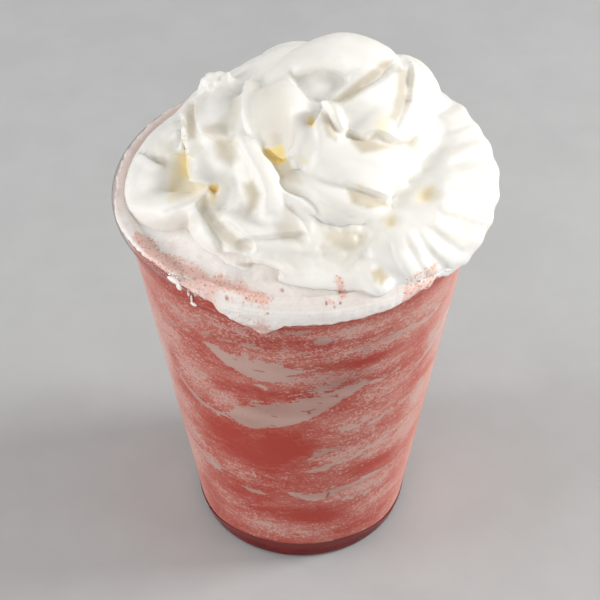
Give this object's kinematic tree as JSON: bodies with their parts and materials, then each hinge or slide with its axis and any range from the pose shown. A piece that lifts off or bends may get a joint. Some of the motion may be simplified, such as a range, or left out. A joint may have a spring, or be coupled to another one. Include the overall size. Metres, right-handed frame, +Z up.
{
  "type": "frozen slush drink",
  "caption": "Frozen red fruit slush in a clear tapered cold cup, with melted juice at the bottom, froth at the rim and a piped swirl of whipped cream on top.",
  "frame": {"origin": "middle of the cup's foot ring, on the surface that the cup stands on", "axes": "+Z up the cup's axis; -Y is the side that the picture shows, +X its right"},
  "size_m": [0.0994, 0.098, 0.153],
  "materials": {
    "clear_plastic": "glossy",
    "melted_juice": "glossy",
    "red_slush": "satin",
    "cream_froth": "satin",
    "whipped_cream": "satin"
  },
  "bodies": {
    "root": {"cup": "clear_plastic", "juice_layer": "melted_juice", "slush": "red_slush", "froth": "cream_froth", "whipped_cream": "whipped_cream"}
  },
  "joints": []
}
